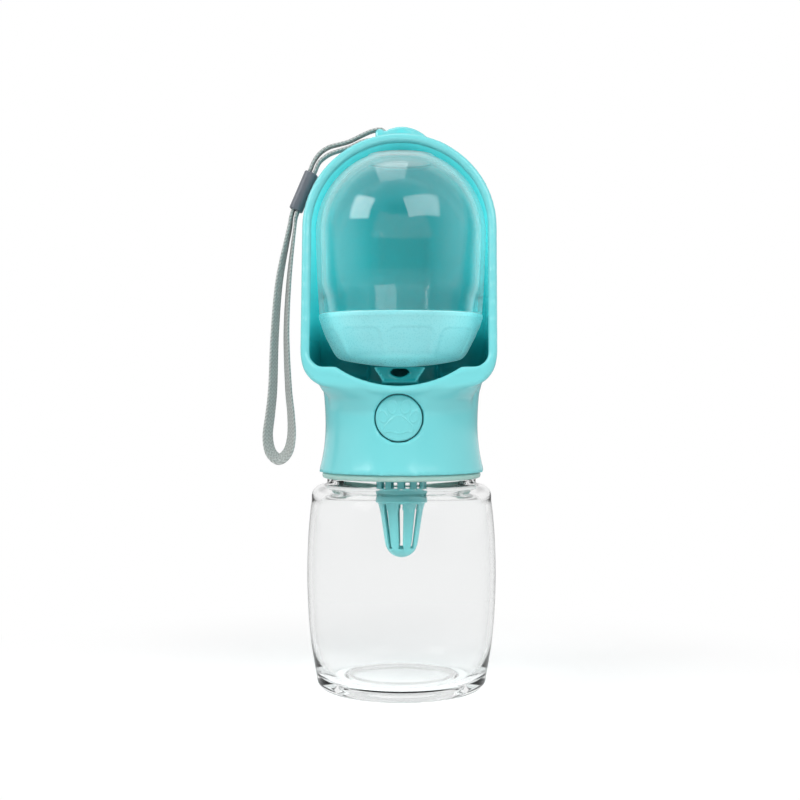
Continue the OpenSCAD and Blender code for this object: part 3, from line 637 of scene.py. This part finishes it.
def grip_panels(turn, radius, height):
    """Nine panels round the side, each a window with two rounded upper corners, sunk by
    panel_depth: edge is the distance inwards from the window's outline, whose corners have the
    radius panel_round."""
    step = 2 * math.pi / panel_count
    off = np.abs(np.mod(turn - panel_turn + step / 2, step) - step / 2) * side_r
    dx = np.maximum(off - (panel_half - panel_round), 0)
    dz = np.maximum(height - (panel_top - panel_round), 0)
    edge = panel_round - np.sqrt(dx ** 2 + dz ** 2)
    side = fade(height, 129.2, 131.4) * (radius > 22)
    return -panel_depth * fade(edge, -0.35, 0.35) * side


# The underside is a shallow bowl that rises with the square of the radius
under = [(r, 127.6 + r * r / 204) for r in np.linspace(0, 21.4, 16)]
lid_outline = np.concatenate([
    under,
    rounded([(22.2, 130.0, 0), (24.6, 130.7, 1.6), (26.4, 132.9, 1.0), (28, 136, 0)], 6),
    smooth_line([(28.3, 136.7), (29.6, 139.2), (30.9, 142.6), (31.8, 145.4)], 10),
    rounded([(31.9, 145.8, 0), (32.2, 146.4, 0.4), (32.2, 148, 0.45), (30.3, 148, 0.3),
             (30.3, 146.8, 0.1), (30.95, 146.8, 0.1), (30.95, 145.6, 0.1), (30.3, 145.6, 0.1),
             (30.3, 144, 0.3), (28.3, 143.6, 0.8), (26, 136, 2), (23.6, 133, 2), (20, 132, 2),
             (0, 129.6, 0)], 5),
])
lid = lathe("food_lid_bowl", lid_outline, "cup", "teal_plastic", columns=360, y=cup_y,
            relief=grip_panels)
# Painted glow on the lid's sides and low round its underside, for light that comes through the
# plastic
x, y, z = rows_of(lid, "co").T
paint(lid, "glow", np.maximum(fade(np.abs(x), 0.010, 0.028), 0.9 - 0.9 * fade(z, 0.1295, 0.133)))
pale_teal = (0.28, 0.72, 0.76)
lid.data.materials.append(paint_light_and_shade(
    moulded("lid_plastic_painted_glow", pale_teal, 0.24, bump=0.00003, pitting=0.15, mottle=0.03,
            subsurface=0.4),
    deep=pale_teal, shade=pale_teal, glow=(0.10, 0.22, 0.22)))
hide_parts("food_lid")

seal_section = rounded([(30.92, 146.2, 0), (30.92, 145.65, 0.2), (29.97, 145.65, 0.4),
                        (29.97, 146.75, 0.4), (30.92, 146.75, 0.2), (30.92, 146.25, 0)], 5)
seal = lathe("lid_seal_ring", seal_section, "cup", "white_silicone", y=cup_y, closed=True)
seal.data.materials.append(white_silicone)
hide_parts("lid_seal")

# ---------------------------------------------------------------------------
# Food dome: a thick clear cup, upside down, with a small flat on top. It
# twists onto the lid and can be lifted off with the food in the lid.

dome_r = 33.4
dome_top = 210.9
dome_wall = 1.8
round_in = 0.7
round_z = dome_top - 30.9
bore_r = dome_r - dome_wall
dome_outline = np.concatenate([
    [(r, dome_top) for r in np.linspace(0, 12.2, 6)],
    smooth_line([(13.0, 210.75), *arc_line(round_in, round_z, dome_r - round_in, 66, 0, 12),
                 (dome_r - 0.15, 172), (dome_r - 0.65, 160), (32.05, 149.2)], 5),
    rounded([(32.02, 148.8, 0), (31.95, 148.1, 0.5), (29.9, 148.1, 0.3), (29.9, 144.4, 0.5),
             (28.4, 144.4, 0.5), (28.4, 149.1, 1.0), (28.75, 150.6, 0)], 5),
    smooth_line([(29.2, 152.6), (bore_r - 0.65, 160), (bore_r - 0.15, 172),
                 *arc_line(round_in, round_z, bore_r - round_in, 0, 66, 12), (12.6, 209.05)], 5),
    [(r, dome_top - dome_wall) for r in np.linspace(11.8, 0, 6)],
])
dome = lathe("food_dome_cup", dome_outline, "dome", "clear_plastic", columns=256, y=cup_y)
# The dome's edges turn a little greyer, a painted shade, and carry a white haze that is partly
# milky diffuse and partly a painted glow
dome.data.materials.append(clear_plastic(
    "dome_clear", (0.975, 0.99, 0.99), (0.90, 0.95, 0.95), 0.02, 1.4, shade=(0.9, 0.94, 0.94),
    haze_and_painted_glow=0.42, edge_from=0.46, edge_to=0.80))
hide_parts("food_dome")

# ---------------------------------------------------------------------------
# Strap slider: a short oval barrel of dark grey plastic, open from end to
# end, that both strands of the strap run through.

slider_top = np.array((-35.0, -10.0, 203.8))
slider_len = 16.0
slider_lean = math.radians(23.4)
slider_half_w, slider_half_d = 2.7, 4.1
slot_half_w, slot_half_d = 1.85, 2.8
outer_edge, bore_edge = 0.6, 0.3


def oval(half_w, half_d, power, turn):
    """Points of a squared oval, on which |x / half_w|^power + |y / half_d|^power is 1."""
    c, s = np.cos(turn), np.sin(turn)
    r = (np.abs(c / half_w) ** power + np.abs(s / half_d) ** power) ** (-1 / power)
    return np.stack([r * c, r * s], -1)


def slider_skin():
    """A closed skin like a flattened ring: out along the barrel, over its rounded end, back through
    the slot and over the other end. Each row is an oval at a height, drawn in or widened where the
    quarter circles of the edges ask it. The whole is then leaned and set at slider_top."""
    turn = np.arange(96) / 96 * 2 * math.pi
    bend = np.linspace(0, math.pi / 2, 6)
    outer = [(outer_edge * (1 - math.sin(a)), outer_edge * (1 - math.cos(a))) for a in bend]
    inner = [(bore_edge * (1 - math.sin(a)), bore_edge * (1 - math.cos(a))) for a in bend]
    middle = [(0, 4), (0, 8), (0, 12)]
    outside = outer + middle + [(inset, slider_len - h) for inset, h in outer[::-1]]
    inside = [(more, slider_len - h) for more, h in inner] + [(0, 8)] + inner[::-1]
    rows = [np.c_[oval(slider_half_w - inset, slider_half_d - inset, 2.5, turn), np.full(96, h)]
            for inset, h in outside]
    rows += [np.c_[oval(slot_half_w + more, slot_half_d + more, 5, turn), np.full(96, h)]
             for more, h in inside]
    local = np.array(rows)
    local[..., 2] -= slider_len
    c, s = math.cos(slider_lean), math.sin(slider_lean)
    x = local[..., 0] * c + local[..., 2] * s
    z = -local[..., 0] * s + local[..., 2] * c
    return (np.stack([x, local[..., 1], z], -1) + slider_top) * MM


slider = skin("strap_slider_barrel", slider_skin(), "slider", "grey_plastic", round_v=True)
slider.data.materials.append(moulded("grey_plastic", (0.125, 0.14, 0.165), 0.36, pitting=3,
                                     mottle=0.08))
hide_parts("strap_slider")

# ---------------------------------------------------------------------------
# Wrist strap: a flat grey braid, 5 mm wide, that rounds the eyelet's bar,
# runs double through the slider and hangs down in one loop.

strap_y = -10.0
strap_w = 5.0
strap_t = 1.2
strap_route = [
    (-5.9, 218.4, 0), (-6.5, 217.1, 0), (-8.0, 216.5, 0), (-11.4, 216.7, 0), (-15.4, 215.9, 0),
    (-20.0, 213.8, 0), (-24.2, 212.5, 0), (-27.6, 211.3, 0), (-30.3, 209.6, 0),
    (-32.3, 207.5, 0), (-34.1, 203.4, 0), (-40.5, 188.7, 0), (-41.8, 181.4, -8),
    (-44.0, 161.6, -20), (-45.0, 140.6, -26), (-44.2, 119.4, -32), (-43.2, 109.0, -36),
    (-43.0, 100.4, -44), (-44.4, 94.2, -54), (-47.8, 91.2, -60), (-51.2, 94.0, -54),
    (-52.4, 100.4, -44), (-51.4, 109.0, -38), (-50.4, 119.4, -34), (-49.6, 140.6, -28),
    (-47.8, 161.6, -22), (-43.9, 181.4, -8), (-42.2, 189.5, 0), (-35.9, 204.2, 0),
    (-34.1, 208.4, 0), (-31.6, 211.7, 0), (-28.2, 213.9, 0), (-24.2, 215.0, 0),
    (-20.0, 216.2, 0), (-15.4, 218.4, 0), (-11.4, 220.1, 0), (-8.0, 220.7, 0), (-6.5, 220.1, 0),
    (-5.9, 218.8, 0),
]


def strap_skin():
    """A rounded flat section carried along the smooth line through the route. The line's third
    number turns the band's width away from Y, about the line. The section is a squared oval, a
    power of cosine across and of sine through, thinner at its edges. Returns the points, the uv in
    millimetres along and across, and the line."""
    line = smooth_line(strap_route, 12)
    centre = np.stack([line[:, 0], np.full(len(line), strap_y), line[:, 1]], -1)
    ahead = np.gradient(centre, axis=0)
    ahead /= np.linalg.norm(ahead, axis=1, keepdims=True)
    lean = np.radians(line[:, 2:])
    side = np.array((0.0, 1.0, 0.0))
    across = np.cross(ahead, side)
    wide = side * np.cos(lean) + across * np.sin(lean)
    thick = np.cross(ahead, wide)
    turn = np.arange(24) / 24 * 2 * math.pi
    c, s = np.cos(turn), np.sin(turn)
    u = strap_w / 2 * np.sign(c) * np.abs(c) ** 0.35
    v = strap_t / 2 * np.sign(s) * np.abs(s) ** 0.7 * (1 - 0.35 * np.abs(c) ** 6)
    points = centre[:, None] + wide[:, None] * u[None, :, None] + thick[:, None] * v[None, :, None]
    length = np.r_[0, np.cumsum(np.linalg.norm(np.diff(centre, axis=0), axis=1))]
    uv = np.stack(np.broadcast_arrays(length[:, None], u[None, :]), -1)
    closed = np.concatenate([centre[:1, None].repeat(24, 1), points,
                             centre[-1:, None].repeat(24, 1)])
    uv = np.concatenate([uv[:1], uv, uv[-1:]])
    return closed * MM, uv, centre * MM


strap_points, strap_uv, strap_line = strap_skin()


def braid():
    """A flat herringbone braid as a height and a painted shade, darker where the strands fall away
    and in the furrows, from the band's own coordinates in millimetres along (u) and across (v):
    slanted strands that mirror at the middle line, each a rounded ridge, with fine yarns on it and
    a furrow where two lanes meet."""
    lane_width = 0.85
    strand_slant = 1.35
    yarn_slant = -0.9
    yarns = 4.6
    group = bpy.data.node_groups.new("herringbone_braid", "ShaderNodeTree")
    group_socket(group, "Strand pitch", "INPUT", "NodeSocketFloat", 1.5)
    group_socket(group, "Height", "OUTPUT", "NodeSocketFloat")
    group_socket(group, "Shade", "OUTPUT", "NodeSocketFloat")
    n, link = group.nodes, group.links.new
    given, made = n.new("NodeGroupInput"), n.new("NodeGroupOutput")
    place, parts = n.new("ShaderNodeUVMap"), n.new("ShaderNodeSeparateXYZ")
    place.uv_map = "along"
    link(place.outputs["UV"], parts.inputs[0])

    def calc(operation, *values):
        return math_node(group, operation, *values)

    def scaled(value, factor, base=0.0):
        return calc("MULTIPLY_ADD", value, factor, base)

    along, across = parts.outputs["X"], parts.outputs["Y"]
    lane = calc("PINGPONG", calc("ABSOLUTE", across), lane_width)
    slanted = calc("ADD", along, scaled(lane, strand_slant))
    phase = calc("PINGPONG", calc("DIVIDE", slanted, given.outputs["Strand pitch"]), 0.5)
    ridge = calc("POWER", scaled(phase, 2.0), 0.55)
    furrow = calc("MINIMUM", scaled(lane, 7.0), 1.0)
    yarn = calc("PINGPONG", scaled(calc("ADD", along, scaled(lane, yarn_slant)), yarns), 0.5)
    raised = calc("ADD", ridge, scaled(yarn, 0.35))
    link(calc("MULTIPLY", raised, scaled(furrow, 0.55, 0.45)), made.inputs["Height"])
    # Painted shade: darker off the strands' crests and in the furrow between lanes
    light = calc("MULTIPLY", scaled(ridge, 0.65, 0.35), scaled(furrow, 0.3, 0.7))
    link(light, made.inputs["Shade"])
    return group


def braided():
    """Soft grey polyester with a little sheen: pale ridges, and gaps darkened by painted shade."""
    material = bpy.data.materials.new("grey_braid")
    material.use_nodes = True
    n, link = material.node_tree.nodes, material.node_tree.links.new
    shader = n["Principled BSDF"]
    weave, lift = n.new("ShaderNodeGroup"), n.new("ShaderNodeBump")
    weave.node_tree = braid()
    # The gaps' grey is painted shade
    painted_gap_shade, ridge_grey = (0.13, 0.145, 0.14), (0.52, 0.56, 0.54)
    link(mix_colour(material.node_tree, weave.outputs["Shade"], painted_gap_shade, ridge_grey),
         shader.inputs["Base Color"])
    lift.inputs["Strength"].default_value = 0.9
    lift.inputs["Distance"].default_value = 0.25 * MM
    link(weave.outputs["Height"], lift.inputs["Height"])
    link(lift.outputs["Normal"], shader.inputs["Normal"])
    shader.inputs["Roughness"].default_value = 0.7
    shader.inputs["Sheen Weight"].default_value = 0.25
    return material


strap = skin("wrist_strap_braid", strap_points, "head", "strap_fabric", uv=strap_uv)
strap.data.materials.append(braided())
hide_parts("wrist_strap")

# ---------------------------------------------------------------------------
# The set: a white floor that fades into a white background, three soft boxes
# above the bottle and a wide one before it, and the camera at the
# photograph's angle.

floor_grey = 0.86
floor_glow = 0.30
fade_from, fade_to = 0.05, 0.22

white = bpy.data.materials.new("white_floor")
white.use_nodes = True
tree = white.node_tree
nodes, link = tree.nodes, tree.links.new
matt = nodes["Principled BSDF"]
matt.inputs["Base Color"].default_value = (floor_grey, floor_grey, floor_grey, 1)
matt.inputs["Roughness"].default_value = 0.9
matt.inputs["Specular IOR Level"].default_value = 0
seen, glow, lit, plain, blend = (nodes.new(k) for k in (
    "ShaderNodeLightPath", "ShaderNodeEmission", "ShaderNodeAddShader", "ShaderNodeEmission",
    "ShaderNodeMixShader"))
glow.inputs["Color"].default_value = plain.inputs["Color"].default_value = (1, 1, 1, 1)
looking = math_node(tree, "MAXIMUM", seen.outputs["Is Camera Ray"],
                    seen.outputs["Is Transmission Ray"])
link(math_node(tree, "MULTIPLY", looking, floor_glow), glow.inputs["Strength"])
link(matt.outputs["BSDF"], lit.inputs[0])
link(glow.outputs["Emission"], lit.inputs[1])
# Away from the bottle the floor is plain white to the camera, like the background behind it
place, from_axis, away = (nodes.new(k) for k in (
    "ShaderNodeTexCoord", "ShaderNodeVectorMath", "ShaderNodeMapRange"))
from_axis.operation = "LENGTH"
away.interpolation_type = "SMOOTHSTEP"
away.inputs["From Min"].default_value = fade_from
away.inputs["From Max"].default_value = fade_to
link(place.outputs["Object"], from_axis.inputs[0])
link(from_axis.outputs["Value"], away.inputs["Value"])
link(math_node(tree, "MULTIPLY", looking, away.outputs["Result"]), blend.inputs["Fac"])
link(lit.outputs["Shader"], blend.inputs[1])
link(plain.outputs["Emission"], blend.inputs[2])
link(blend.outputs["Shader"], nodes["Material Output"].inputs["Surface"])

floor_mesh = bpy.data.meshes.new("floor")
floor_mesh.from_pydata([(-8, -8, 0), (8, -8, 0), (8, 8, 0), (-8, 8, 0)], [], [(0, 1, 2, 3)])
floor = bpy.data.objects.new("floor", floor_mesh)
floor.data.materials.append(white)
bpy.context.scene.collection.objects.link(floor)

# The world is white to the camera, also through the clear walls. What mirrors it sees a bright room
# with a dark side behind the camera, and all other light comes at world_level.
world_level = 0.34
gloss_behind_camera = 0.12
gloss_around = 0.95

world = bpy.data.worlds.new("studio")
bpy.context.scene.world = world
world.use_nodes = True
tree = world.node_tree
nodes, link = tree.nodes, tree.links.new
seen, toward, side, gloss = (nodes.new(k) for k in (
    "ShaderNodeLightPath", "ShaderNodeTexCoord", "ShaderNodeSeparateXYZ", "ShaderNodeMapRange"))
link(toward.outputs["Generated"], side.inputs[0])
gloss.interpolation_type = "SMOOTHSTEP"
gloss.inputs["From Min"].default_value = -0.85
gloss.inputs["From Max"].default_value = -0.25
gloss.inputs["To Min"].default_value = gloss_behind_camera
gloss.inputs["To Max"].default_value = gloss_around
link(side.outputs["Y"], gloss.inputs["Value"])
bounces = math_node(tree, "ADD", seen.outputs["Diffuse Depth"], seen.outputs["Glossy Depth"])
straight = math_node(tree, "LESS_THAN", bounces, 0.5)
no_diffuse = math_node(tree, "LESS_THAN", seen.outputs["Diffuse Depth"], 0.5)
through = seen.outputs["Is Transmission Ray"]
clear_view = math_node(tree, "MAXIMUM", seen.outputs["Is Camera Ray"],
                       math_node(tree, "MULTIPLY", through, straight))
turned = math_node(tree, "MULTIPLY", math_node(tree, "SUBTRACT", through, straight), no_diffuse)
mirrored = math_node(tree, "MAXIMUM", seen.outputs["Is Glossy Ray"], turned)
extra = math_node(tree, "SUBTRACT", gloss.outputs["Result"], world_level)
level = math_node(tree, "MULTIPLY_ADD", mirrored, extra, world_level)
nodes["Background"].inputs["Color"].default_value = (1, 1, 1, 1)
link(math_node(tree, "MAXIMUM", clear_view, level), nodes["Background"].inputs["Strength"])


def softbox(name, place, target, width, height, power):
    """A rectangular area lamp at place, turned to face target."""
    lamp = bpy.data.lights.new(name, "AREA")
    lamp.shape = "RECTANGLE"
    lamp.size, lamp.size_y = width, height
    lamp.energy = power
    piece = bpy.data.objects.new(name, lamp)
    bpy.context.scene.collection.objects.link(piece)
    aim = np.array(target) - np.array(place)
    away = aim / np.linalg.norm(aim)
    piece.location = place
    piece.rotation_euler = (math.acos(-away[2]), 0, math.atan2(-away[0], away[1]))
    return piece


softbox("key_left", (-0.73, -0.48, 0.66), (0, 0, 0.15), 0.5, 0.46, 3.8)
softbox("fill_right", (0.48, -0.70, 0.72), (0, 0, 0.15), 0.8, 0.5, 4.6)
softbox("top", (-0.15, 0.0, 1.25), (0, 0, 0.1), 0.7, 0.5, 2.0)
front = softbox("front", (0.1, -1.3, 0.22), (0, 0, 0.13), 1.2, 0.8, 3.2)
front.visible_glossy = front.visible_transmission = False

# The camera looks level, along Y turned by camera_turn. At camera_far its frame is frame_width
# wide.
bpy.context.scene.view_settings.view_transform = "Standard"
camera_data = bpy.data.cameras.new("camera")
camera = bpy.data.objects.new("camera", camera_data)
bpy.context.scene.collection.objects.link(camera)
camera_turn = math.radians(2)
camera_far = 0.55
camera_z = 0.1165
frame_width = 0.32
camera.location = (camera_far * math.sin(camera_turn), -camera_far * math.cos(camera_turn),
                   camera_z)
camera.rotation_euler = (math.pi / 2, 0, camera_turn)
camera_data.sensor_width = 36
camera_data.lens = 36 * camera_far / frame_width
camera_data.shift_x = -1.5 / 800
camera_data.shift_y = -5 / 800
camera_data.clip_start = 0.01
bpy.context.scene.camera = camera
